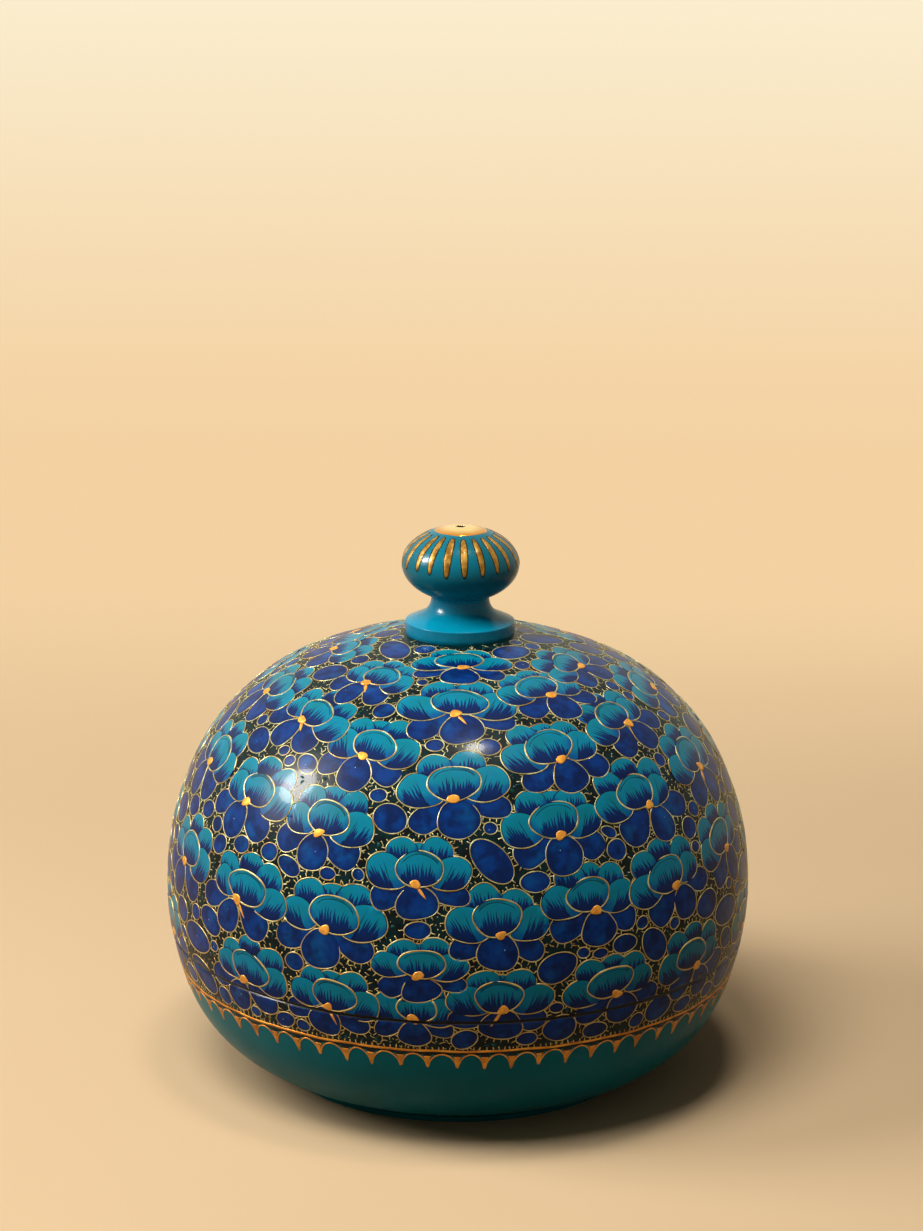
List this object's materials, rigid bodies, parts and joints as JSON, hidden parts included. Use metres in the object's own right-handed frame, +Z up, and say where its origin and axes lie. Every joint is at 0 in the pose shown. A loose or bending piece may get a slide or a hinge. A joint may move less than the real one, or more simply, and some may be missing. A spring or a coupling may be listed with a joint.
{
  "type": "lidded box",
  "caption": "Round lidded box like a flattened globe, with a flat foot, a lift-off lid located by an inner collar, and a turned bulb knob on top.",
  "frame": {"origin": "centre of the face that the foot ring stands on", "axes": "+Z up along the box's axis of revolution, through the knob; -Y is the front; the body is round, so X and Y are alike"},
  "size_m": [0.12, 0.12, 0.1126],
  "materials": {
    "lacquered_shell": "painted papier mache under gloss varnish",
    "lacquered_foot": "painted papier mache under gloss varnish",
    "black_collar": "black painted papier mache, varnished",
    "painted_wood": "turned wood, painted, under gloss varnish",
    "black_patch": "black painted papier mache, varnished"
  },
  "bodies": {
    "base": {"base_bowl": "lacquered_shell", "foot_ring": "lacquered_foot", "locating_collar": "black_collar"},
    "lid": {"lid_shell": "lacquered_shell", "knob": "painted_wood", "tenon_patch": "black_patch"}
  },
  "joints": [
    {"name": "lid_lift", "type": "slide", "parent": "base", "child": "lid", "axis": [0, 0, 1], "range_m": [0, 0.12]}
  ]
}
